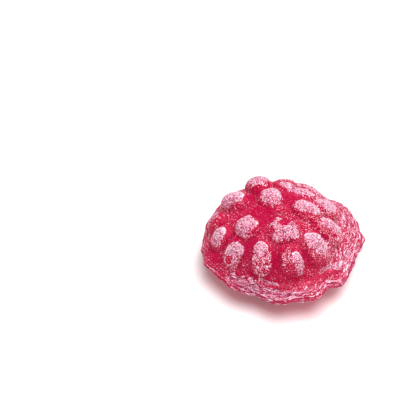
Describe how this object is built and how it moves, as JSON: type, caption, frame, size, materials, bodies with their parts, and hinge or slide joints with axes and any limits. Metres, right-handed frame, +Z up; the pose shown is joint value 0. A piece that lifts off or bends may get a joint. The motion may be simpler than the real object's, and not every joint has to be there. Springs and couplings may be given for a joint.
{
  "type": "raspberry-shaped boiled sweet",
  "caption": "Blunt-domed hard sweet stamped like a raspberry, with rounded drupelets, a ragged seam round the middle and a sugar dusting.",
  "frame": {"origin": "centre of the bounding box, on the plane that the sweet rests on", "axes": "+Z up out of the drupelet dome, +X to the right in the picture, +Y away from the viewer"},
  "size_m": [0.022, 0.0214, 0.0115],
  "materials": {
    "boiled_sugar": "clouded deep red sugar, dusted with fine white sugar on the drupelets and seam"
  },
  "bodies": {
    "root": {"raspberry_drop": "boiled_sugar"}
  },
  "joints": []
}
